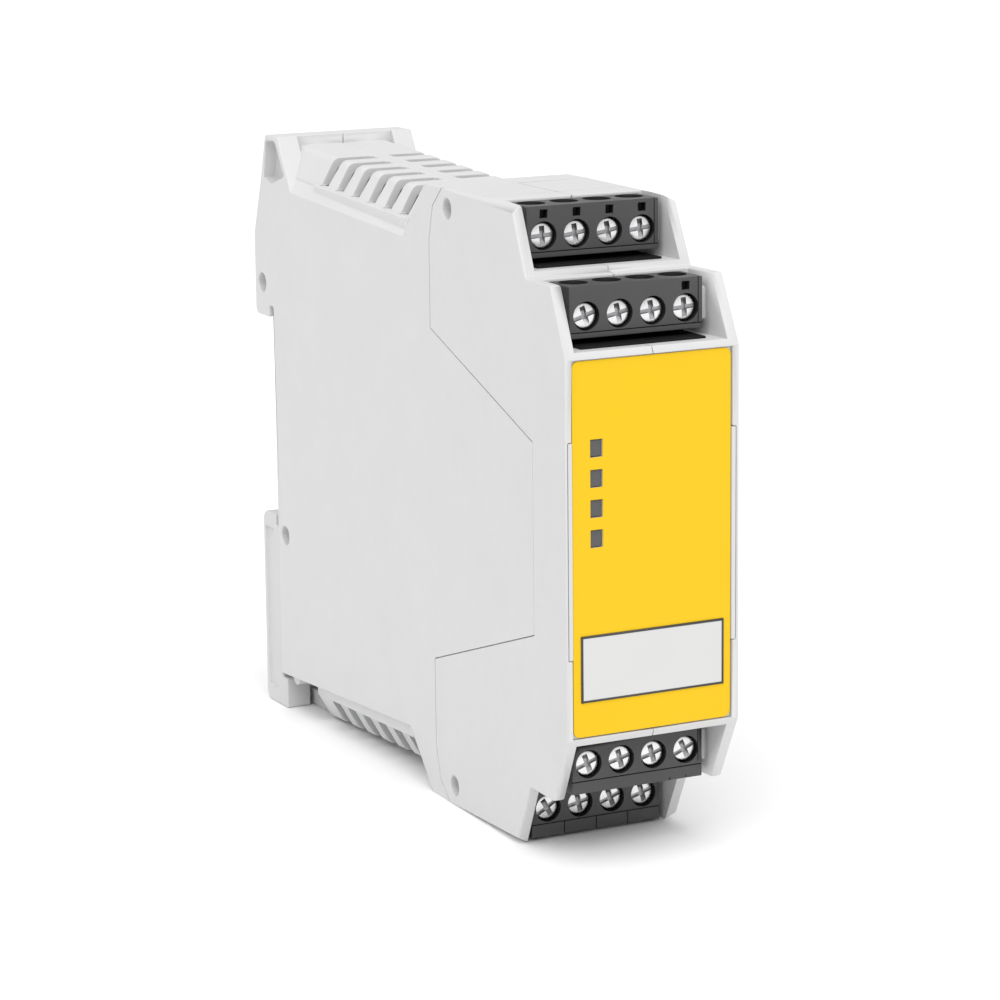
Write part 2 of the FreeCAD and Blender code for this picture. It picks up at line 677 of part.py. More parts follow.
rear_parts = [rear_slab]
rear_spaces = []
slots = []
slot_starts = [D.slot_first + D.slot_pitch * i for i in range(6)]
for side_name, side in SIDES:
    hood_end = HOOD_END[side]
    space_end = D.depth - D.cavity_inset if side > 0 else hood_end - D.hood_wall
    rear_parts.append(hood("hood_" + side_name, side))
    rear_spaces.append(loft("hood_space_" + side_name, [hood_space(side, D.seam_top - D.wall),
                                                        hood_space(side, space_end)]))
    rear_drop = D.strip_rear_drop if side > 0 else D.strip_low_drop
    rear_parts.append(loft("strip_" + side_name, [
        strip_section(side, D.slope_end, edge_front, D.strip_front_drop),
        strip_section(side, edge_end, edge_rear, rear_drop),
    ]))
    rear_parts.append(loft("ledge_" + side_name, [
        ledge_section(side, D.slot_first - D.ledge_start),
        ledge_section(side, slot_starts[-1] + D.slot_width + D.ledge_tail),
    ]))
    for i, start in enumerate(slot_starts):
        end = start + D.slot_width
        low, high = level(side, hood_top(side, end) - D.hood_fall, D.block_half + D.cheek_rise)
        slots.append(box("vent_%s_%d" % (side_name, i), D.spine_half, D.hood_foot_half + D.cage_play,
                         start, end, low, high))
cheek = [
    (D.depth - D.cheek_foot_inset, MIDDLE + D.block_half - D.cheek_foot_drop),
    (D.depth - D.cheek_top_inset, MIDDLE + D.block_half + D.cheek_rise),
    (D.depth - D.cheek_back_inset, MIDDLE + D.block_half + D.cheek_rise),
    (D.depth - D.cheek_back_inset + D.cheek_heel, MIDDLE + edge_rear),
    (D.depth - D.cheek_back_inset, MIDDLE + edge_rear - D.wall),
]
rear_parts.append(prism("hook_cheek", "x", D.cheek_inner_half, BODY_HALF, cheek))
cross_wall = [
    (D.depth - D.rear_wall_inset, MIDDLE + edge_rear - D.wall),
    (D.depth - D.rear_wall_inset, MIDDLE + D.block_half + D.cheek_rise),
    (D.depth - D.cheek_back_inset, MIDDLE + D.block_half + D.cheek_rise),
    (D.depth - D.cheek_back_inset + D.cheek_heel, MIDDLE + edge_rear),
    (D.depth - D.cheek_back_inset, MIDDLE + edge_rear - D.wall),
]
rear_parts.append(prism("hook_wall", "x", ZERO, BODY_HALF, cross_wall))
rear_parts.append(rod("stop_nub", "x", D.leg_inner_half, D.depth - D.nub_inset, MIDDLE - edge_rear,
                      D.nub_radius, D.nub_length - D.leg_gap))
panel_space = both_ways([
    (D.front_wall, edge_front - D.wall),
    (D.slope_end, edge_front - D.wall),
    (D.depth - D.cavity_inset, edge_front - D.wall),
])
rear_hollow = common("rear_hollow", plan("rear_inner_plan", D.wall),
                     prism("panel_space", "x", ZERO, FRONT_HALF, panel_space))
keyway_low = MIDDLE - edge_rear + D.keyway_floor
keyway = box("keyway", ZERO, D.key_half + D.keyway_play, recess - D.key_depth - D.keyway_play, recess,
             keyway_low, MIDDLE - D.key_top + D.keyway_play)
cheek_top = MIDDLE + D.block_half + D.cheek_rise
cheek_back = D.depth - D.cheek_back_inset
pocket = [
    (cheek_back - D.cheek_rim / 5, cheek_top - D.cheek_rim),
    (D.depth - D.cheek_top_inset + D.cheek_rim, cheek_top - D.cheek_rim),
    (D.depth - D.cheek_foot_inset + D.pocket_front, MIDDLE + D.block_half - D.pocket_front_drop),
    (cheek_back - D.pocket_low, MIDDLE + D.block_half - D.pocket_low_drop),
    (cheek_back + D.pocket_heel, MIDDLE + D.block_half - D.pocket_heel_drop),
]
pocket_cut = prism("cheek_pocket", "x", BODY_HALF - D.cheek_pocket, FRONT_HALF, pocket)
pocket_hole = rod("cheek_pocket_hole", "x", BODY_HALF - D.cheek_pocket - D.cheek_hole,
                  D.depth - D.cheek_hole_inset, MIDDLE + D.block_half - D.cheek_hole_drop,
                  D.cheek_hole, D.cheek_pocket)
rear_bare = cut("rear_bare", fuse("rear_outer", rear_parts),
                [rear_hollow, keyway, pocket_cut, pocket_hole] + rear_spaces + slots)
rear_boss = rod("rear_boss", "x", BODY_HALF - D.dowel_depth - D.wall, D.depth - D.rear_dowel_inset,
                MIDDLE - D.rear_dowel_down, D.dowel_boss, D.dowel_depth)
rear_sockets = [
    rod("hook_socket", "x", BODY_HALF - D.dowel_depth, D.depth - D.hook_dowel_inset,
        MIDDLE + D.hook_dowel_up, D.dowel_radius, D.dowel_depth * 2),
    rod("rear_socket", "x", BODY_HALF - D.dowel_depth, D.depth - D.rear_dowel_inset,
        MIDDLE - D.rear_dowel_down, D.dowel_radius, D.dowel_depth * 2),
]
rear_right = cut("rear_right", fuse("rear_joined", [rear_bare, rear_boss]), rear_sockets)
node("rear_shell_right", rear_right)
node("rear_shell_left", mirrored("rear_left", rear_right))

# Lamp windows on the left, through the front wall, the cover and the label.
lamps = [MIDDLE + D.lamp_low + D.lamp_pitch * i for i in range(4)]


def lamp_ways(tag):
    """Four window cutters that run from the front face to the inner space."""
    ways = []
    for i, height in enumerate(lamps):
        ways.append(box("%s_way_%d" % (tag, i), -D.lamp_side - D.lamp_width / 2,
                        -D.lamp_side + D.lamp_width / 2, ZERO, D.front_wall,
                        height - D.lamp_height / 2, height + D.lamp_height / 2))
    return ways


node("front_shell_left", cut("front_left", mirrored("front_left_blank", front_right), lamp_ways("shell")))
prongs = []
guide_front = D.cover_sink - D.label_thickness + D.lamp_sink
for i, height in enumerate(lamps):
    prongs.append(box("prong_%d" % i, -D.lamp_side - D.lamp_width / 2 + D.lamp_play,
                      -D.lamp_side + D.lamp_width / 2 - D.lamp_play, guide_front, D.front_wall + D.guide_plate,
                      height - D.lamp_height / 2 + D.lamp_play, height + D.lamp_height / 2 - D.lamp_play))
prongs.append(box("guide_plate_block", -D.lamp_side - D.lamp_width / 2 - D.guide_margin,
                  -D.lamp_side + D.lamp_width / 2 + D.guide_margin, D.front_wall, D.front_wall + D.guide_plate,
                  lamps[0] - D.lamp_height / 2 - D.guide_margin, lamps[3] + D.lamp_height / 2 + D.guide_margin))
node("light_guide", fuse("guide", prongs))

# Front cover with side tabs, the label on it and the writing plate on the label.
cover_parts = [box("cover_plate", -D.cover_half, D.cover_half, D.cover_sink, cover_back,
                   MIDDLE - FACE + D.cover_drop, MIDDLE + FACE - D.cover_drop)]
for name, x in (("right", D.cover_half), ("left", -D.cover_tab_half)):
    cover_parts.append(box("cover_tab_" + name, x, x + D.cover_tab_half - D.cover_half, D.cover_tab_sink,
                           cover_back, MIDDLE - D.cover_tab_rise, MIDDLE + D.cover_tab_rise))
cover_blank = fuse("cover_blank", cover_parts)
node("front_cover", cut("cover", cover_blank, lamp_ways("cover")))


def rounded_plate(name, half, y0, y1, z0, z1, radius):
    """A thin plate with four round corners."""
    pieces = [
        box(name + "_tall", -half + radius, half - radius, y0, y1, z0, z1),
        box(name + "_wide", -half, half, y0, y1, z0 + radius, z1 - radius),
    ]
    for i, x in enumerate((-half + radius, half - radius)):
        for j, z in enumerate((z0 + radius, z1 - radius)):
            pieces.append(rod("%s_corner_%d%d" % (name, i, j), "y", x, y0, z, radius, y1 - y0))
    return fuse(name + "_plate", pieces)


label_front = D.cover_sink - D.label_thickness
label_blank = rounded_plate("label", D.label_half, label_front, D.cover_sink,
                            MIDDLE - FACE + D.label_drop, MIDDLE + FACE - D.label_drop, D.label_round)
node("front_label", cut("label_cut", label_blank, lamp_ways("label")))
node("id_plate", box("writing_plate", -D.plate_half, D.plate_half, label_front - D.plate_thickness,
                     label_front, MIDDLE - D.plate_top - D.plate_height, MIDDLE - D.plate_top))

# Circuit board with its larger parts.
board_back = D.depth - D.board_back_inset
wing_front = D.bay_depth + D.tail_length
rear_front = D.tier_step + wing_front
board_front_half = D.block_half - D.board_front_drop
board_wing_half = D.block_half - D.board_wing_drop
board_back_half = D.block_half - D.board_back_drop
board_outline = [
    (D.board_front, MIDDLE + board_front_half),
    (wing_front, MIDDLE + board_front_half),
    (wing_front, MIDDLE + board_wing_half),
    (rear_front, MIDDLE + board_wing_half),
    (rear_front, MIDDLE + board_back_half),
    (board_back, MIDDLE + board_back_half),
    (board_back, D.board_low_rise),
    (D.depth - D.board_low_inset, D.board_low_rise),
    (D.depth - D.board_low_inset, MIDDLE - board_back_half),
    (rear_front, MIDDLE - board_back_half),
    (rear_front, MIDDLE - board_wing_half),
    (wing_front, MIDDLE - board_wing_half),
    (wing_front, MIDDLE - board_front_half),
    (D.board_front, MIDDLE - board_front_half),
]
node("main_board", prism("board", "x", -D.board_half, D.board_half, board_outline))
node("processor", box("chip", D.board_half, D.board_half + D.chip_height, D.chip_y, D.chip_y + D.chip_size,
                      MIDDLE - D.chip_size / 2, MIDDLE + D.chip_size / 2))
node("capacitor", rod("can", "y", D.board_half + D.capacitor_radius, D.depth - D.capacitor_inset,
                      MIDDLE - D.capacitor_down, D.capacitor_radius, D.capacitor_length))

# Plugs, headers, terminal screws and clamp cages.
for side_name, side in SIDES:
    for tier_name, tier_y, tier_top in TIERS:
        tag = "%s_%s" % (side_name, tier_name)
        face = tier_y + D.tier_lean + D.plug_setback
        screw_z = tier_top - D.screw_drop
        plug_low = tier_top - D.plug_drop - D.plug_height
        plug_top = tier_top - D.plug_drop
        head_end = face + D.head_sink + D.head_height
        chamber = head_end + D.chamber_wall
        chamber_end = chamber + D.chamber_depth
        plug_end = face + D.plug_depth
        bay_end = tier_y + D.bay_depth
        low, high = level(side, plug_low, plug_top)
        block = box("plug_front_" + tag, -D.plug_half, D.plug_half, face,
                    face + D.mouth_depth - D.plug_setback, low, high)
        low, high = level(side, plug_low, tier_top - D.plug_tail_drop)
        tail = box("plug_tail_" + tag, -D.plug_half, D.plug_half, face, plug_end, low, high)
        tools = []
        header_pins = []
        for i, step in enumerate(POLES):
            pole = "%s_%d" % (tag, i + 1)
            x = D.pole_pitch * step
            z = MIDDLE + screw_z * side
            tools.append(rod("well_" + pole, "y", x, face, z, D.well_radius, head_end - face))
            tools.append(rod("shank_way_" + pole, "y", x, face, z, D.shank_radius + D.shank_play,
                             chamber - face))
            low, high = level(side, screw_z - D.chamber_rise, screw_z + D.chamber_rise)
            tools.append(box("chamber_" + pole, x - D.chamber_half, x + D.chamber_half, chamber, chamber_end,
                             low, high))
            funnel = doc.addObject("Part::Cone", "funnel_" + pole)
            funnel_low = screw_z + D.chamber_rise - D.cage_play
            low, high = level(side, funnel_low, plug_top)
            funnel.setExpression("Height", (plug_top - funnel_low).text)
            funnel.setExpression("Radius1", (D.funnel_low if side > 0 else D.funnel_top).text)
            funnel.setExpression("Radius2", (D.funnel_top if side > 0 else D.funnel_low).text)
            place(funnel, x, face + D.funnel_back, low)
            tools.append(funnel)
            low, high = level(side, screw_z - D.socket_half, screw_z + D.socket_half)
            tools.append(box("socket_" + pole, x - D.socket_half, x + D.socket_half, chamber_end, plug_end,
                             low, high))
            if tag == "upper_rear" or pole == "upper_front_4":
                window = screw_z + D.window_rise
                low, high = level(side, window - D.window_half, window + D.window_half)
                tools.append(box("window_" + pole, x - D.window_half, x + D.window_half, face,
                                 face + D.window_deep, low, high))

            low, high = level(side, screw_z - D.pin_half, screw_z + D.pin_half)
            header_pins.append(box("pin_" + pole, x - D.pin_half, x + D.pin_half,
                                   bay_end - D.header_depth - D.pin_length, bay_end, low, high))

            head_face = face + D.head_sink
            angle = SCREW_TURNS[tag][i]
            head = rod("head_" + pole, "y", x, head_face, z, D.head_radius, D.head_height)
            shank = rod("shank_" + pole, "y", x, head_end, z, D.shank_radius, D.shank_length)
            slot = turned_box("slot_" + pole, x, head_face, head_face + D.slot_deep, z,
                              D.head_radius * 2, D.slot_cut, angle)
            cross = turned_box("cross_" + pole, x, head_face, head_face + D.slot_deep, z,
                               D.slot_cut, D.cross_half * 2, angle)
            blank = fuse("screw_blank_" + pole, [head, shank])
            node("screw_" + pole, cut("screw_cut_" + pole, blank, [slot, cross]))

            low, high = level(side, screw_z - D.cage_rise, screw_z + D.cage_rise)
            cage_half = D.chamber_half - D.cage_play
            cage_front = chamber_end - D.cage_length
            frame = box("frame_" + pole, x - cage_half, x + cage_half, cage_front, chamber_end, low, high)
            opening = box("opening_" + pole, x - cage_half + D.cage_wall, x + cage_half - D.cage_wall,
                          cage_front + D.cage_wall, chamber_end - D.cage_wall, low, high)
            hole = rod("hole_" + pole, "y", x, cage_front, z, D.shank_radius + D.shank_play,
                       D.cage_length - D.cage_wall)
            node("cage_" + pole, cut("cage_cut_" + pole, frame, [opening, hole]))
        node("plug_" + tag, cut("plug_cut_" + tag, fuse("plug_blank_" + tag, [block, tail]), tools))
        low, high = level(side, tier_top - D.bay_height + D.header_low, tier_top - D.header_top)
        base = box("header_base_" + tag, -D.header_half, D.header_half, bay_end - D.header_depth, bay_end,
                   low, high)
        low, high = level(side, screw_z - D.tail_rise, screw_z + D.tail_rise)
        stub = box("header_tail_" + tag, -D.tail_half, D.tail_half, bay_end, bay_end + D.tail_length,
                   low, high)
        node("header_" + tag, fuse("header_body_" + tag, [base, stub] + header_pins))

# Rail latch with its key, legs and foot, and the wave spring under the key.
latch_front = recess + D.latch_gap
latch_back = D.depth - D.latch_back
latch_top = MIDDLE + rail_top - D.rail_width + D.rail_bite
groove_low = MIDDLE + rail_top - D.rail_width - D.rail_play
plate = [
    (back_lip, latch_top),
    (latch_back, latch_top),
    (latch_back, ZERO),
    (latch_front, ZERO),
    (latch_front, groove_low),
    (back_lip, groove_low),
]
leg_top = MIDDLE - D.block_half + D.strip_low_drop - D.leg_gap
latch_parts = [
    prism("latch_plate", "x", -D.latch_half, D.latch_half, plate, [(1, D.latch_round), (2, D.latch_round)]),
    box("latch_leg_right", D.leg_inner_half, D.latch_half, recess - D.leg_depth, latch_front, ZERO, leg_top),
    box("latch_leg_left", -D.latch_half, -D.leg_inner_half, recess - D.leg_depth, latch_front, ZERO, leg_top),
    box("latch_foot", -D.foot_half, D.foot_half, recess - D.foot_depth, latch_front, ZERO, D.foot_height),
    box("latch_key", -D.key_half, D.key_half, recess - D.key_depth, latch_front,
        MIDDLE - D.key_top - D.key_height, MIDDLE - D.key_top),
]
foot_slot = box("foot_slot_cut", -D.foot_slot_half, D.foot_slot_half, recess - D.foot_depth + D.foot_slot_edge,
                recess - D.foot_depth + D.foot_slot_edge + D.foot_slot, ZERO, D.foot_height)
panels = []
for name, x in (("right", D.latch_half - D.panel_deep), ("left", -D.latch_half)):
    panels.append(box("latch_panel_" + name, x, x + D.panel_deep, back_lip + D.panel_margin,
                      latch_back - D.panel_margin, D.latch_round + D.panel_margin,
                      latch_top - D.latch_round - D.panel_margin))
node("rail_latch", cut("latch", fuse("latch_blank", latch_parts), [foot_slot] + panels))

spring_top = MIDDLE - D.key_top - D.key_height
turns = 8
step = (spring_top - keyway_low) / turns
near = recess - D.key_depth
left_side = []
right_side = []
for i in range(turns + 1):
    lean = near + D.spring_sway * (i % 2)
    left_side.append((lean, keyway_low + step * i))
    right_side.append((lean + D.spring_gauge, keyway_low + step * i))
node("latch_spring", prism("spring", "x", -D.spring_half, D.spring_half, left_side + right_side[::-1]))

doc.recompute()
for obj in doc.Objects:
    if "Invalid" in obj.State or "Error" in obj.State:
        raise RuntimeError("%s did not rebuild" % obj.Name)
    if hasattr(obj, "Shape") and not obj.Shape.isNull() and not obj.Shape.isValid():
        raise RuntimeError("%s has a broken shape" % obj.Name)
for name, obj in nodes:
    shape = obj.Shape
    if shape.isNull() or not shape.isValid():
        raise RuntimeError("%s has no valid shape" % name)
    shape.exportStep("parts/%s.step" % name)
    print(name, len(shape.Solids), round(shape.Volume, 2))
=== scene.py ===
import json
import math
import bmesh
import bpy
from mathutils import Euler, Matrix, Vector, geometry, kdtree


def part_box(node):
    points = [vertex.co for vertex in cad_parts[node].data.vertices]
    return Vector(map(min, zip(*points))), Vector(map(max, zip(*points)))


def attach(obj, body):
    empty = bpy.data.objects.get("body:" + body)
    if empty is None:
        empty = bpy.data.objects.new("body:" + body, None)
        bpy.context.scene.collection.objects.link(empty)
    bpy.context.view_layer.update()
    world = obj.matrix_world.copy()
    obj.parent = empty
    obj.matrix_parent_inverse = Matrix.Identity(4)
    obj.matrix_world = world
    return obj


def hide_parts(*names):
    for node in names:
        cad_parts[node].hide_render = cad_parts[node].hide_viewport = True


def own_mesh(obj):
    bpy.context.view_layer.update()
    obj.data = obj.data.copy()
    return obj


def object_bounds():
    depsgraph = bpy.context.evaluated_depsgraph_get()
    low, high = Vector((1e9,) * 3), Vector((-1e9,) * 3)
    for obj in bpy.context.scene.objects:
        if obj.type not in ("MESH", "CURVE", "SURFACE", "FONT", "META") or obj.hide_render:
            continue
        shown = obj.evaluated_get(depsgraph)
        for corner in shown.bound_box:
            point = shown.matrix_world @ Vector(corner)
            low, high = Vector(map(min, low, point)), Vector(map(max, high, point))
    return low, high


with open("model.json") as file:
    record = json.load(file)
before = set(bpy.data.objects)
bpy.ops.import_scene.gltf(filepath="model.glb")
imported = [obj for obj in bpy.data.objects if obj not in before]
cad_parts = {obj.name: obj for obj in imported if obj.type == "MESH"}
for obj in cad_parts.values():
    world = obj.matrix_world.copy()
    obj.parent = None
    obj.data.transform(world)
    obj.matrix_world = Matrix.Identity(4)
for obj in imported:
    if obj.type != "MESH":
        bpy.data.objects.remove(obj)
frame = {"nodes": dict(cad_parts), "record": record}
cad_low, cad_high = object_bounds()

MM = 0.001
NODES = frame["nodes"]
BODIES = frame["record"]["behaviour"]["bodies"]
BODY_OF = {node: body for body, members in BODIES.items() for node in members}
SLOT_OF = {node: piece.data.materials[0].name for node, piece in NODES.items()}
TAGS = ["upper_front", "upper_rear", "lower_front", "lower_rear"]
POLES = [1, 2, 3, 4]

# Camera, at the photograph's viewing angle, in millimetres and degrees.
CAMERA_PLACE = (-228.02, -456.68, 146.99)
CAMERA_YAW = 26.954
CAMERA_PITCH = 11.725
CAMERA_ROLL = -0.623
CAMERA_LENS = 126.69
SENSOR_WIDTH = 36.0
NEAREST = 10.0
FARTHEST = 20000.0

# Studio: a pale floor, in millimetres, white surroundings and a broad light with its spread in degrees.
FLOOR_HALF = 6000.0
FLOOR_GAP = 0.02
FLOOR_TONES = [(0.93, 0.93, 0.93), (0.95, 0.95, 0.95)]
FLOOR_CLOUDS = 60.0
FLOOR_ROUGHNESS = 0.8
FLOOR_GLOSS = 0.1
WORLD_STRENGTH = 0.73
KEY_FROM = (-0.25, -0.45, 0.86)
KEY_SPREAD = 60.0
KEY_STRENGTH = 2.0

# Noise of the finishes: the span of values that it fills, and how fine it is.
NOISE_LOW = 0.3
NOISE_HIGH = 0.7
SOFT_DETAIL = 2.0
NOISE_DETAIL = 3.0
SCRATCH_DETAIL = 4.0

# Moulded plastic: sizes of its clouds and of its gloss patches in millimetres, and how strong they are.
CLOUD_SIZE = 9.0
PATCH_SIZE = 2.5
PATCH_DRIFT = 0.06
GRAIN_STRENGTH = 0.35

# Plated steel: sizes of its haze, scratches and relief in millimetres, drawn out by the factors given.
HAZE_SIZE = 1.2
HAZE_TONE = 0.9
SCRATCH_SIZE = 0.5
SCRATCH_STRETCH = (1, 1, 6)
SCRATCH_SMOOTHER = 0.06
SCRATCH_ROUGHER = 0.1
RELIEF_SIZE = 0.25
RELIEF_STRETCH = (1, 1, 5)
RELIEF_DEPTH = 0.01
RELIEF_STRENGTH = 0.25

# Circuit board: how fine its tracks are, the gaps between them, and the relief in millimetres.
TRACK_SCALE = 90.0
TRACK_GAP = 0.06
TRACK_DEPTH = 0.04
TRACK_STRENGTH = 0.4
MASK_TONES = [(0.008, 0.075, 0.03), (0.03, 0.19, 0.07)]
MASK_PATCH = 3.0
MASK_ROUGHNESS = (0.3, 0.45)

# Edges, in millimetres and degrees. A face's corner over STRAIGHT is no corner, and a run of edges
# ends where it turns by more than RUN_TURN. The shares are how much of the free room a round may take.
MERGE = 0.001
FLAT_ANGLE = 0.1
EDGE_ANGLE = 28.0
CREASE_ANGLE = 10.0
STRAIGHT = 150.0
RUN_TURN = 40.0
EDGE_SAMPLE = 0.4
EDGE_SHARE = 0.36
CORNER_SHARE = 0.4
EDGE_STEPS = 2
LEAST_EDGE = 0.04
SHELL_EDGE = 0.28
PLUG_EDGE = 0.14
FINE_EDGE = 0.06
PLATE_EDGE = 0.03
WEIGHT_LAYER = "bevel_weight_edge"

# How far a cutter stands out of what it cuts, in millimetres.
CUT_MARGIN = 1.0

# Parting line of the shells on each side, as depths and heights in millimetres.
# The lower half mirrors the upper one.
ROOF_HEIGHT = 89.6
SEAM = [(-14.3, ROOF_HEIGHT), (-11.0, 86.8), (-9.6, 81.8), (-9.6, 69.1), (-43.5, 58.2)]
SEAM += [(depth, ROOF_HEIGHT - height) for depth, height in reversed(SEAM)]
SEAM_WIDTH = 0.16
SEAM_DEPTH = 0.5

# Flare of the sides towards the front, in millimetres.
FLARE_START = -9.5
REAR_HALF = 11.55

# Gap between the left and the right halves over the steps, and a fine line across the roof, in millimetres.
HALVES_GAP = 0.14
HALVES_END = -15.0
STEPS_HEIGHT = 21.4
ROOF_LINE = -26.4
ROOF_LINE_WIDTH = 0.12
ROOF_LINE_DEPTH = 0.15

# Inside of the vented rear, which gets painted shade, from the middle of the part and as far back as the
# vents go, in millimetres.
VENT_HALF_WIDTH = 10.2
VENT_HALF_HEIGHT = 43.0
VENT_END = 43.0

# Grooves on the plugs' faces, in millimetres: the left, low, right and high ends of each,
# from a face's left lower corner.
UPPER_GROOVES = [(0.0, 0.8, 20.4, 0.8), (19.75, 0.8, 19.75, 7.1)]
GROOVES = {
    "upper_front": UPPER_GROOVES,
    "upper_rear": UPPER_GROOVES,
    "lower_front": [
        (0.0, 1.75, 20.4, 1.75),
        (19.75, 2.3, 19.75, 7.0),
        (15.28, 0.0, 15.28, 0.4),
        (17.8, 0.0, 17.8, 0.4),
    ],
    "lower_rear": [
        (0.0, 1.9, 20.4, 1.9),
        (5.12, 0.0, 5.12, 1.9),
        (10.2, 0.0, 10.2, 1.9),
        (15.28, 0.0, 15.28, 1.9),
    ],
}
GROOVE_WIDTH = 0.12
GROOVE_DEPTH = 0.2

# Walls inside a plug, which get painted shade: how far they lie within its box in millimetres, and their
# largest area in square millimetres.
INSIDE_MARGIN = 0.05
INSIDE_AREA = 30.0

# Black ledge under each plug, in millimetres: a near-black sheet of painted shade for the dark gap beneath
# the plug.
APRON_REACH = 2.0
APRON_INSET = 0.6
APRON_THICK = 0.3
APRON_GAP = 0.18

# Terminal screws: the turn of each driver slot in degrees, then sizes in millimetres.
# The head's outline is radii and depths from the crown.
SCREW_TURNS = {
    "upper_front": [-18, -12, -8, -4],
    "upper_rear": [-3, -8, -10, -6],
    "lower_front": [-20, -14, -16, -24],
    "lower_rear": [-30, -12, -20, -16],
}
HEAD_PROFILE = [(0.9, 0.02), (1.4, 0.06), (1.66, 0.12), (1.77, 0.22), (1.8, 0.34), (1.8, 1.3)]
SHANK_RADIUS = 1.2
THREAD_DEPTH = 0.18
THREAD_PITCH = 0.5
THREAD_STEPS = 6
SCREW_SIDES = 40
SLOT_WIDTH = 0.6
SLOT_DEPTH = 0.4
CROSS_WIDTH = 0.8
CROSS_DEPTH = 0.6
CROSS_TOP = 1.4
CROSS_FOOT = 0.6

# Dark border of the writing plate, in millimetres.
BORDER_WIDTH = 0.3
BORDER_RISE = 0.03


class Paint:
    """A node material while it is put together."""

    def __init__(self, name):
        self.material = bpy.data.materials.new(name)
        self.material.use_nodes = True
        self.nodes = self.material.node_tree.nodes
        self.links = self.material.node_tree.links
        self.shader = self.nodes["Principled BSDF"]
        self.place = self.nodes.new("ShaderNodeTexCoord").outputs["Object"]

    def settings(self, **values):
        """Constant values, set on the shader's own sockets."""
        for name, value in values.items():
            self.shader.inputs[name.replace("_", " ")].default_value = value

    def noise(self, size_mm, detail=NOISE_DETAIL, stretch=(1, 1, 1)):
        """Noise with features of about a size, drawn out along an axis if asked."""
        mapping = self.nodes.new("ShaderNodeMapping")
        mapping.inputs["Scale"].default_value = stretch
        self.links.new(self.place, mapping.inputs["Vector"])
        texture = self.nodes.new("ShaderNodeTexNoise")
        texture.inputs["Scale"].default_value = 1 / (size_mm * MM)
        texture.inputs["Detail"].default_value = detail
        self.links.new(mapping.outputs["Vector"], texture.inputs["Vector"])
        return texture.outputs["Fac"]

    def spread(self, value, low, high):
        """Noise values brought to a range."""
        node = self.nodes.new("ShaderNodeMapRange")
        node.inputs["From Min"].default_value = NOISE_LOW
        node.inputs["From Max"].default_value = NOISE_HIGH
        node.inputs["To Min"].default_value = low
        node.inputs["To Max"].default_value = high
        self.links.new(value, node.inputs["Value"])
        return node.outputs["Result"]

    def colours(self, factor, first, second):
        """Base colour between two tones."""
        node = self.nodes.new("ShaderNodeMix")
        node.data_type = "RGBA"
        node.inputs["A"].default_value = (*first, 1)
        node.inputs["B"].default_value = (*second, 1)
        self.links.new(self.spread(factor, 0, 1), node.inputs["Factor"])
        self.links.new(node.outputs["Result"], self.shader.inputs["Base Color"])

    def roughness(self, factor, low, high):
        """Roughness that wanders between two values."""
        self.links.new(self.spread(factor, low, high), self.shader.inputs["Roughness"])

    def bump(self, height, depth_mm, strength):
        """Fine relief on the surface."""
        node = self.nodes.new("ShaderNodeBump")
        node.inputs["Strength"].default_value = strength
        node.inputs["Distance"].default_value = depth_mm * MM
        self.links.new(height, node.inputs["Height"])
        self.links.new(node.outputs["Normal"], self.shader.inputs["Normal"])


def tone(colour, share):
    """A colour made lighter or darker by a share."""
    return tuple(min(channel * share, 1) for channel in colour)


def moulded(name, colour, drift, rough, grain_mm, grain_depth, gloss=0.5):
    """Moulded plastic: spark-eroded grain, faint clouding and uneven gloss."""
    paint = Paint(name)
    paint.settings(Specular_IOR_Level=gloss)
    paint.colours(paint.noise(CLOUD_SIZE), tone(colour, 1 - drift), tone(colour, 1 + drift))
    paint.roughness(paint.noise(PATCH_SIZE), rough - PATCH_DRIFT, rough + PATCH_DRIFT)
    paint.bump(paint.noise(grain_mm), grain_depth, GRAIN_STRENGTH)
    return paint.material


def plated(name, colour, rough):
    """Plated steel with fine drawn scratches and a little haze."""
    paint = Paint(name)
    paint.settings(Metallic=1.0)
    paint.colours(paint.noise(HAZE_SIZE), tone(colour, HAZE_TONE), colour)
    scratches = paint.noise(SCRATCH_SIZE, SCRATCH_DETAIL, SCRATCH_STRETCH)
    paint.roughness(scratches, rough - SCRATCH_SMOOTHER, rough + SCRATCH_ROUGHER)
    relief = paint.noise(RELIEF_SIZE, stretch=RELIEF_STRETCH)
    paint.bump(relief, RELIEF_DEPTH, RELIEF_STRENGTH)
    return paint.material


def circuit_board(name):
    """Green solder mask over copper tracks."""
    paint = Paint(name)
    tracks = paint.nodes.new("ShaderNodeTexBrick")
    tracks.inputs["Scale"].default_value = TRACK_SCALE
    tracks.inputs["Mortar Size"].default_value = TRACK_GAP
    paint.links.new(paint.place, tracks.inputs["Vector"])
    paint.colours(tracks.outputs["Fac"], *MASK_TONES)
    paint.roughness(paint.noise(MASK_PATCH, SOFT_DETAIL), *MASK_ROUGHNESS)
    paint.bump(tracks.outputs["Fac"], TRACK_DEPTH, TRACK_STRENGTH)
    return paint.material


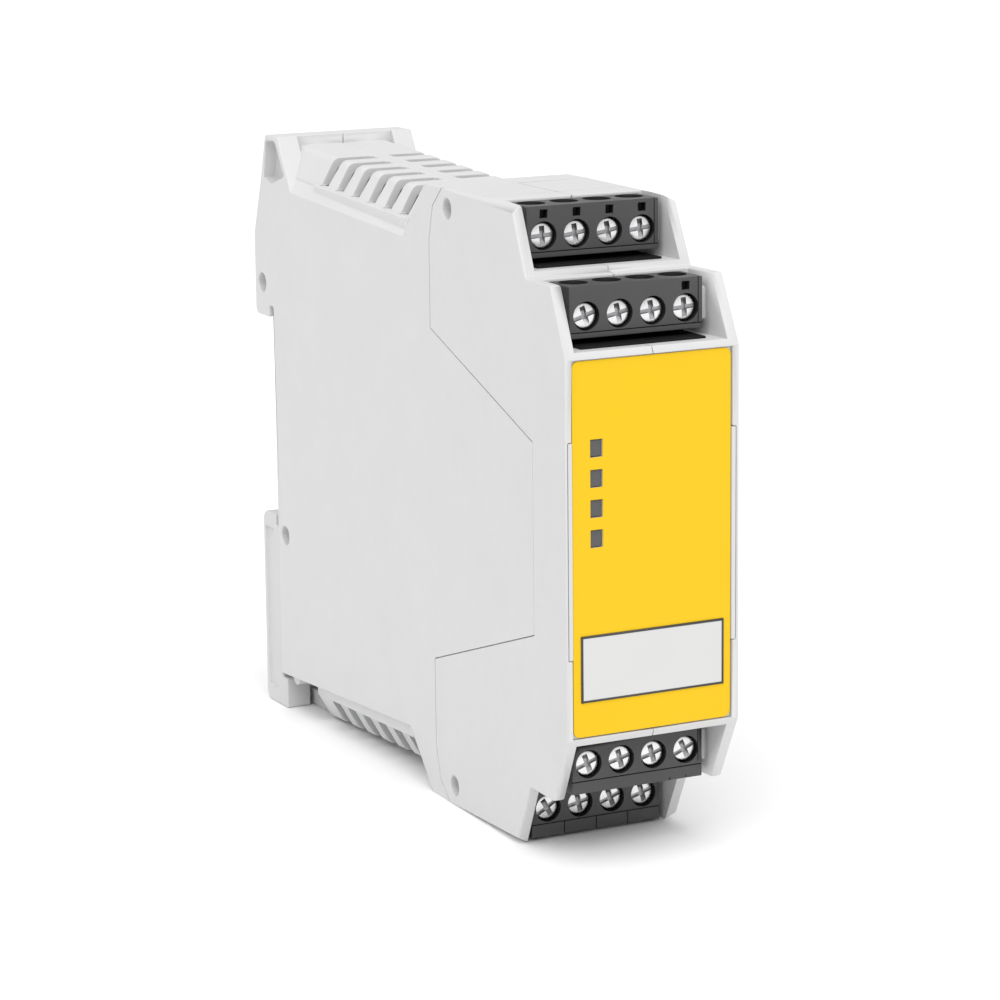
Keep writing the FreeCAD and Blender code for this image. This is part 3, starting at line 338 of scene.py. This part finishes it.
# Finish of each slot. Moulded ones give colour, its drift, roughness, the grain's size and depth
# in millimetres, and gloss. Plated ones give colour and roughness.
MATERIALS = {
    "housing_grey": moulded("housing_grey_grain", (0.63, 0.63, 0.635), 0.012, 0.5, 0.22, 0.02, 0.4),
    "latch_grey": moulded("latch_grey_grain", (0.61, 0.61, 0.615), 0.012, 0.5, 0.22, 0.02, 0.4),
    "label_yellow": moulded("label_yellow_film", (0.82, 0.52, 0.01), 0.01, 0.42, 0.16, 0.008, 0.2),
    "plate_white": moulded("plate_white_matt", (0.64, 0.64, 0.64), 0.01, 0.6, 0.12, 0.012, 0.3),
    "lamp_window": moulded("lamp_window_smoke", (0.085, 0.085, 0.088), 0.05, 0.28, 0.6, 0.006),
    "plug_charcoal": moulded("plug_charcoal_grain", (0.057, 0.057, 0.059), 0.06, 0.46, 0.2, 0.025),
    "header_black": moulded("header_black_grain", (0.012, 0.012, 0.013), 0.08, 0.5, 0.2, 0.02, 0.3),
    "chip_black": moulded("chip_black_epoxy", (0.02, 0.02, 0.021), 0.1, 0.55, 0.1, 0.02),
    "screw_plated": plated("screw_plated_bright", (0.88, 0.88, 0.89), 0.28),
    "cage_plated": plated("cage_plated_satin", (0.72, 0.73, 0.74), 0.34),
    "spring_steel": plated("spring_steel_drawn", (0.5, 0.5, 0.5), 0.3),
    "capacitor_can": plated("capacitor_can_satin", (0.68, 0.69, 0.7), 0.3),
    "board_green": circuit_board("board_green_mask"),
}
BORDER_INK = moulded("border_ink", (0.06, 0.06, 0.062), 0.05, 0.5, 0.2, 0.006, 0.3)
# Near-black painted shade for the walls in a plug's wells, windows, chambers and grooves, and for the ledge
# under each plug.
WELL_PAINTED_SHADE = moulded("well_painted_shade", (0.008, 0.008, 0.008), 0.05, 0.6, 0.2, 0.006, 0.2)
# Darker plated tone as painted shade and reflection in the screws' slot and cross.
RECESS_PAINTED_SHADE = plated("recess_painted_shade", (0.4, 0.4, 0.41), 0.36)
# Near-black painted shade for the inner walls seen through the vent slots.
VENT_PAINTED_SHADE = moulded("vent_painted_shade", (0.05, 0.05, 0.052), 0.05, 0.7, 0.2, 0.006, 0.2)


# Meshes and pieces.
def mm(x, y, z):
    """A point given in millimetres."""
    return Vector((x, y, z)) * MM


def solid_mesh(node):
    """A solid's mesh with whole flat faces instead of triangles."""
    mesh = bmesh.new()
    mesh.from_mesh(NODES[node].data)
    bmesh.ops.remove_doubles(mesh, verts=mesh.verts, dist=MERGE * MM)
    bmesh.ops.dissolve_limit(mesh, angle_limit=math.radians(FLAT_ANGLE), verts=mesh.verts, edges=mesh.edges)
    return mesh


def piece_from(name, mesh, *materials):
    """A new object from a mesh, with its materials and smooth faces."""
    data = bpy.data.meshes.new(name)
    for face in mesh.faces:
        face.smooth = True
    mesh.to_mesh(data)
    mesh.free()
    for material in materials:
        data.materials.append(material)
    piece = bpy.data.objects.new(name, data)
    bpy.context.scene.collection.objects.link(piece)
    return piece


def add_box(mesh, low, high):
    """A box between two corners, in metres."""
    corners = bmesh.ops.create_cube(mesh, size=1)["verts"]
    bmesh.ops.scale(mesh, vec=Vector(high) - Vector(low), verts=corners)
    bmesh.ops.translate(mesh, vec=(Vector(high) + Vector(low)) / 2, verts=corners)
    return corners


def carve(piece, cutter):
    """Cut a mesh away from a piece for good."""
    tool = piece_from(piece.name + "_cutter", cutter, *piece.data.materials)
    change = piece.modifiers.new("carve", "BOOLEAN")
    change.operation = "DIFFERENCE"
    change.solver = "EXACT"
    change.use_self = True
    change.object = tool
    graph = bpy.context.evaluated_depsgraph_get()
    carved = bpy.data.meshes.new_from_object(piece.evaluated_get(graph))
    piece.modifiers.remove(change)
    piece.data = carved
    bpy.data.objects.remove(tool)


# Rounded edges, each as wide as the forms beside it leave room for.
def edges_over(mesh, angle):
    """The edges whose faces turn by more than an angle."""
    least = math.radians(angle)
    return [edge for edge in mesh.edges if edge.is_manifold and edge.calc_face_angle(0) > least]


def goes_on(edge, other, corner):
    """True where an edge carries on into another without a sharp turn."""
    ahead = corner.co - edge.other_vert(corner).co
    after = other.other_vert(corner).co - corner.co
    return ahead.angle(after, math.pi) < math.radians(RUN_TURN)


def edge_runs(sharp):
    """The number of each sharp edge's run, which goes on until it turns."""
    meeting = {}
    for edge in sharp:
        for corner in edge.verts:
            meeting.setdefault(corner.index, []).append(edge)
    run_of = {}
    for start in sharp:
        if start.index in run_of:
            continue
        run_of[start.index] = start.index
        waiting = [start]
        while waiting:
            edge = waiting.pop()
            for corner in edge.verts:
                for other in meeting[corner.index]:
                    if other.index not in run_of and goes_on(edge, other, corner):
                        run_of[other.index] = start.index
                        waiting.append(other)
    return run_of


def corner_limits(mesh, sharp):
    """Each sharp edge and the round that a corner of its faces leaves room for."""
    for loop in (loop for face in mesh.faces for loop in face.loops):
        turn = loop.calc_angle()
        if turn > math.radians(STRAIGHT):
            continue
        pair = [loop.edge, loop.link_loop_prev.edge]
        for edge, other in [pair, pair[::-1]]:
            if edge.index in sharp and other.index in sharp:
                length = min(edge.calc_length(), other.calc_length())
                yield edge, CORNER_SHARE * length * math.tan(turn / 2)
            elif edge.index in sharp:
                yield edge, CORNER_SHARE * other.calc_length() * math.sin(turn)


def edge_samples(edge):
    """Points along an edge, a small step apart."""
    first, last = (corner.co for corner in edge.verts)
    count = max(1, math.ceil(edge.calc_length() / (EDGE_SAMPLE * MM)))
    return [first.lerp(last, (i + 0.5) / count) for i in range(count)]


def distance_to(edge, point):
    """How far a point lies from an edge."""
    first, last = (corner.co for corner in edge.verts)
    _, share = geometry.intersect_point_line(point, first, last)
    return (point - first.lerp(last, min(max(share, 0), 1))).length


def narrow_to_neighbours(room, run_of, creased):
    """Narrow each run's room to its distance from the runs that share no corner with it."""
    corners = {}
    for edge in creased:
        corners.setdefault(run_of[edge.index], set()).update(corner.index for corner in edge.verts)
    samples = [(point, edge) for edge in creased for point in edge_samples(edge)]
    tree = kdtree.KDTree(len(samples))
    for index, (point, _) in enumerate(samples):
        tree.insert(point, index)
    tree.balance()
    for point, edge in samples:
        run = run_of[edge.index]
        for _, index, _ in tree.find_range(point, room[run] + EDGE_SAMPLE * MM):
            other = samples[index][1]
            if corners[run].isdisjoint(corners[run_of[other.index]]):
                room[run] = min(room[run], distance_to(other, point))


def weigh_edges(data, width):
    """Give each run of sharp edges a share of the round that its neighbours leave room for."""
    mesh = bmesh.new()
    mesh.from_mesh(data)
    layers = mesh.edges.layers.float
    weight = layers.get(WEIGHT_LAYER) or layers.new(WEIGHT_LAYER)
    creased = edges_over(mesh, CREASE_ANGLE)
    sharp = edges_over(mesh, EDGE_ANGLE)
    run_of = {edge.index: edge.index for edge in creased}
    run_of.update(edge_runs(sharp))
    room = dict.fromkeys(run_of.values(), width / EDGE_SHARE)
    for edge, reach in corner_limits(mesh, {edge.index for edge in sharp}):
        run = run_of[edge.index]
        room[run] = min(room[run], reach / EDGE_SHARE)
    narrow_to_neighbours(room, run_of, creased)
    for edge in sharp:
        share = min(1, room[run_of[edge.index]] * EDGE_SHARE / width)
        edge.smooth = share * width > LEAST_EDGE * MM
        edge[weight] = share if edge.smooth else 0
    mesh.to_mesh(data)
    mesh.free()


def soften(piece, width_mm):
    """Break the edges with a small round, as a mould does."""
    weigh_edges(piece.data, width_mm * MM)
    bevel = piece.modifiers.new("edges", "BEVEL")
    bevel.width = width_mm * MM
    bevel.segments = EDGE_STEPS
    bevel.limit_method = "WEIGHT"
    bevel.use_clamp_overlap = False
    bevel.loop_slide = False
    bevel.miter_outer = "MITER_ARC"
    normals = piece.modifiers.new("normals", "WEIGHTED_NORMAL")
    normals.mode = "FACE_AREA"
    normals.keep_sharp = True


# Pieces on their bodies.
def trim(piece, node):
    """Let a piece go with a solid's body."""
    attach(piece, BODY_OF[node])


def stand_in(piece, node):
    """Let a piece stand for a solid, on its body."""
    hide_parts(node)
    trim(piece, node)


def dressed(node, edge_mm):
    """A solid's form with softened edges and its finished material."""
    piece = piece_from(node + "_finish", solid_mesh(node), MATERIALS[SLOT_OF[node]])
    soften(piece, edge_mm)
    stand_in(piece, node)
    return piece


def carved(node, mesh, cutter, edge_mm, *painted_shades):
    """A solid's form with fine cuts, softened edges and painted shade for some of its faces."""
    piece = piece_from(node + "_finish", mesh, MATERIALS[SLOT_OF[node]], *painted_shades)
    carve(piece, cutter)
    soften(piece, edge_mm)
    stand_in(piece, node)


# Housing with its parting line.
def side_at(depth):
    """Half the width of the housing at a depth, in millimetres."""
    front = cad_low.y / MM
    share = max(0, FLARE_START - depth) / (FLARE_START - front)
    return REAR_HALF + (cad_high.x / MM - REAR_HALF) * share


def add_seam(mesh, outer):
    """Thin blades along the parting line of both sides."""
    for start, end in zip(SEAM, SEAM[1:]):
        along = (Vector(end) - Vector(start)).normalized() * SEAM_WIDTH / 2
        across = along.orthogonal()
        for side in [-1, 1]:
            corners = []
            for point in [Vector(start) - along, Vector(end) + along]:
                for x in [outer, side_at(point.x) - SEAM_DEPTH]:
                    corners += [(side * x, *(point - across)), (side * x, *(point + across))]
            verts = [mesh.verts.new(mm(*corner)) for corner in corners]
            bmesh.ops.convex_hull(mesh, input=verts)


def add_halves_gap(mesh):
    """Thin blades on the middle plane, over the lower and the upper steps."""
    half = HALVES_GAP / 2
    front = cad_low.y / MM - CUT_MARGIN
    lower = (-CUT_MARGIN, STEPS_HEIGHT)
    upper = (ROOF_HEIGHT - STEPS_HEIGHT, ROOF_HEIGHT + CUT_MARGIN)
    for low, high in [lower, upper]:
        add_box(mesh, mm(-half, front, low), mm(half, HALVES_END, high))


def add_roof_line(mesh, outer):
    """A thin blade across the roof."""
    half = ROOF_LINE_WIDTH / 2
    top = cad_high.z / MM + CUT_MARGIN
    foot = ROOF_HEIGHT - ROOF_LINE_DEPTH
    add_box(mesh, mm(-outer, ROOF_LINE - half, foot), mm(outer, ROOF_LINE + half, top))


def shell_cutter():
    """All the fine cuts of the housing's outside."""
    mesh = bmesh.new()
    outer = cad_high.x / MM + CUT_MARGIN
    add_seam(mesh, outer)
    add_halves_gap(mesh)
    add_roof_line(mesh, outer)
    bmesh.ops.recalc_face_normals(mesh, faces=mesh.faces)
    return mesh


def paint_vent_shade(mesh):
    """Paint dark shade on the inner walls that show through the vent slots, where the inside of the housing
    lies in shadow.
    """
    middle = (cad_low.z + cad_high.z) / 2
    for face in mesh.faces:
        centre = face.calc_center_median()
        inward = face.normal.x * centre.x < 0 and abs(face.normal.x) > abs(face.normal.y)
        within = abs(centre.x) < VENT_HALF_WIDTH * MM and abs(centre.z - middle) < VENT_HALF_HEIGHT * MM
        # Inner faces within the vented part take the second material, the painted shade.
        face.material_index = int(inward and within and centre.y < VENT_END * MM)


def rear_shell(side):
    """A half of the vented rear."""
    node = "rear_shell_" + side
    mesh = solid_mesh(node)
    paint_vent_shade(mesh)
    carved(node, mesh, shell_cutter(), SHELL_EDGE, VENT_PAINTED_SHADE)


def front_shell(side):
    """A half of the front with its terminal bays."""
    node = "front_shell_" + side
    carved(node, solid_mesh(node), shell_cutter(), SHELL_EDGE)


for side in ["left", "right"]:
    rear_shell(side)
    front_shell(side)


# Latch with its spring, the cover and what it carries, and what is inside.
def latch_spring():
    """The spring under the rail latch, with softened edges, on a mesh of its own."""
    piece = dressed("latch_spring", FINE_EDGE)
    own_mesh(piece)


dressed("rail_latch", SHELL_EDGE)
for node in ["front_cover", "front_label", "light_guide", "capacitor", "processor", "main_board"]:
    dressed(node, FINE_EDGE)
dressed("id_plate", PLATE_EDGE)
latch_spring()


# Terminal plugs with painted shade in their wells and grooved faces, and what they plug onto.
def paint_well_shade(mesh, node):
    """Paint near-black shade on the walls of a plug's wells, windows and chambers."""
    low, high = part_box(node)
    for face in mesh.faces:
        centre = face.calc_center_median()
        deep = min(*(centre - low), *(high - centre)) > INSIDE_MARGIN * MM
        # Small faces deep inside the plug take the second material, the painted shade.
        face.material_index = int(deep and face.calc_area() < INSIDE_AREA * MM * MM)


def groove_cutter(tag, corner):
    """Thin bars along the grooves of a plug's face."""
    mesh = bmesh.new()
    half = GROOVE_WIDTH / 2
    for left, low, right, high in GROOVES[tag]:
        start = corner + mm(left - half, -CUT_MARGIN, low - half)
        end = corner + mm(right + half, GROOVE_DEPTH, high + half)
        add_box(mesh, start, end)
    # The grooves' walls take the plug's second material, the near-black painted shade.
    for face in mesh.faces:
        face.material_index = 1
    return mesh


def plug(tag):
    """A terminal plug."""
    node = "plug_" + tag
    mesh = solid_mesh(node)
    paint_well_shade(mesh, node)
    carved(node, mesh, groove_cutter(tag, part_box(node)[0]), PLUG_EDGE, WELL_PAINTED_SHADE)


def apron(tag):
    """The black ledge that a plug slides along, on the floor of its bay, in the near-black painted shade of
    the gap under the plug.
    """
    plug_low, plug_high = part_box("plug_" + tag)
    header_low, header_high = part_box("header_" + tag)
    inset = APRON_INSET * MM
    low = Vector((plug_low.x + inset, plug_low.y - APRON_REACH * MM, header_low.z - APRON_GAP * MM))
    high = Vector((plug_high.x - inset, header_low.y, low.z + APRON_THICK * MM))
    if tag.startswith("lower"):
        high.z = header_high.z + APRON_GAP * MM
        low.z = high.z - APRON_THICK * MM
    mesh = bmesh.new()
    add_box(mesh, low, high)
    piece = piece_from("apron_" + tag, mesh, WELL_PAINTED_SHADE)
    soften(piece, FINE_EDGE)
    trim(piece, "header_" + tag)


for tag in TAGS:
    plug(tag)
    apron(tag)
    dressed("header_" + tag, PLUG_EDGE)
    for pole in POLES:
        dressed("cage_%s_%d" % (tag, pole), FINE_EDGE)


# Terminal screws with a crowned head, a slot and a cross in darker painted shade, and a thread.
def thread_depths(length):
    """Depths of the rings along a shank, from the head to the tip."""
    start = HEAD_PROFILE[-1][1]
    step = THREAD_PITCH / THREAD_STEPS
    count = int((length - start) / step)
    return [start + step * i for i in range(count)] + [length]


def screw_rings(length, angles):
    """The head's rings and the thread's, each as a radius and a depth at every angle."""
    rings = [[ring] * len(angles) for ring in HEAD_PROFILE]
    for depth in thread_depths(length):
        ring = []
        for angle in angles:
            phase = (depth / THREAD_PITCH - angle / (2 * math.pi)) % 1
            ring.append((SHANK_RADIUS - THREAD_DEPTH * abs(2 * phase - 1), depth))
        rings.append(ring)
    return rings


def screw_mesh(length):
    """A screw along +Y with its crown at the origin."""
    mesh = bmesh.new()
    angles = [2 * math.pi * i / SCREW_SIDES for i in range(SCREW_SIDES)]
    grid = []
    for ring in screw_rings(length, angles):
        row = []
        for angle, (radius, depth) in zip(angles, ring):
            across = radius * math.cos(angle) * MM
            upward = radius * math.sin(angle) * MM
            row.append(mesh.verts.new((across, depth * MM, upward)))
        grid.append(row)
    crown = mesh.verts.new((0, 0, 0))
    for i in range(SCREW_SIDES):
        j = (i + 1) % SCREW_SIDES
        mesh.faces.new((crown, grid[0][i], grid[0][j]))
        for row, after in zip(grid, grid[1:]):
            mesh.faces.new((row[i], after[i], after[j], row[j]))
    mesh.faces.new(list(reversed(grid[-1])))
    bmesh.ops.recalc_face_normals(mesh, faces=mesh.faces)
    return mesh


def driver_recess():
    """The slot across the head and the cross arm, which tapers from above the crown to its foot."""
    mesh = bmesh.new()
    reach = 2 * HEAD_PROFILE[-1][0]
    slot = SLOT_WIDTH / 2
    cross = CROSS_WIDTH / 2
    add_box(mesh, mm(-reach, -CUT_MARGIN, -slot), mm(reach, SLOT_DEPTH, slot))
    arm = add_box(mesh, mm(-cross, 0, -CROSS_TOP), mm(cross, CROSS_DEPTH, CROSS_TOP))
    taper = CROSS_FOOT / CROSS_TOP
    for corner in arm:
        if corner.co.y > CROSS_DEPTH * MM / 2:
            corner.co.z *= taper
        else:
            corner.co.y = -CROSS_DEPTH * MM
            corner.co.z *= 2 - taper
    # The recess's faces take the darker plated painted shade.
    for face in mesh.faces:
        face.material_index = 1
    return mesh


def terminal_screw(tag, pole):
    """One terminal screw in its well."""
    node = "screw_%s_%d" % (tag, pole)
    low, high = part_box(node)
    mesh = screw_mesh((high.y - low.y) / MM)
    piece = piece_from(node + "_finish", mesh, MATERIALS[SLOT_OF[node]], RECESS_PAINTED_SHADE)
    carve(piece, driver_recess())
    turn = Matrix.Rotation(math.radians(SCREW_TURNS[tag][pole - 1]), 4, "Y")
    middle = (low + high) / 2
    piece.data.transform(Matrix.Translation((middle.x, low.y, middle.z)) @ turn)
    soften(piece, FINE_EDGE)
    stand_in(piece, node)


for tag in TAGS:
    for pole in POLES:
        terminal_screw(tag, pole)


# Dark border of the writing plate.
def plate_border():
    """A frame of four bars along the plate's edges."""
    low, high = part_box("id_plate")
    rim = BORDER_WIDTH * MM
    front = low.y - BORDER_RISE * MM
    mesh = bmesh.new()
    add_box(mesh, (low.x, front, low.z), (high.x, high.y, low.z + rim))
    add_box(mesh, (low.x, front, high.z - rim), (high.x, high.y, high.z))
    add_box(mesh, (low.x, front, low.z + rim), (low.x + rim, high.y, high.z - rim))
    add_box(mesh, (high.x - rim, front, low.z + rim), (high.x, high.y, high.z - rim))
    trim(piece_from("plate_border", mesh, BORDER_INK), "id_plate")


plate_border()


# Floor, light and camera.
def floor():
    """A wide pale floor under the part."""
    mesh = bmesh.new()
    bmesh.ops.create_grid(mesh, x_segments=1, y_segments=1, size=FLOOR_HALF * MM)
    paint = Paint("studio_floor")
    paint.colours(paint.noise(FLOOR_CLOUDS, SOFT_DETAIL), *FLOOR_TONES)
    paint.settings(Roughness=FLOOR_ROUGHNESS, Specular_IOR_Level=FLOOR_GLOSS)
    piece = piece_from("studio_floor", mesh, paint.material)
    piece.location.z = cad_low.z - FLOOR_GAP * MM


def soft_light(name, place, spread, strength):
    """Broad soft light that falls from a direction all over the scene."""
    lamp = bpy.data.lights.new(name, "SUN")
    lamp.angle = math.radians(spread)
    lamp.energy = strength
    holder = bpy.data.objects.new(name, lamp)
    bpy.context.scene.collection.objects.link(holder)
    holder.location = Vector(place)
    holder.rotation_euler = (-Vector(place)).to_track_quat("-Z", "Y").to_euler()


def studio():
    """White surroundings with broad light from above."""
    world = bpy.data.worlds.new("studio")
    world.use_nodes = True
    background = world.node_tree.nodes["Background"]
    background.inputs["Color"].default_value = (1, 1, 1, 1)
    background.inputs["Strength"].default_value = WORLD_STRENGTH
    bpy.context.scene.world = world
    soft_light("key", KEY_FROM, KEY_SPREAD, KEY_STRENGTH)
    bpy.context.scene.view_settings.view_transform = "Standard"


def camera():
    """The camera, standing where the photograph was taken from."""
    data = bpy.data.cameras.new("camera")
    data.sensor_width = SENSOR_WIDTH
    data.lens = CAMERA_LENS
    data.clip_start = NEAREST * MM
    data.clip_end = FARTHEST * MM
    holder = bpy.data.objects.new("camera", data)
    bpy.context.scene.collection.objects.link(holder)
    holder.location = Vector(CAMERA_PLACE) * MM
    turn = Euler((math.pi / 2 - math.radians(CAMERA_PITCH), 0, -math.radians(CAMERA_YAW))).to_matrix()
    roll = Matrix.Rotation(math.radians(CAMERA_ROLL), 3, "Z")
    holder.rotation_euler = (turn @ roll).to_euler()
    bpy.context.scene.camera = holder


floor()
studio()
camera()
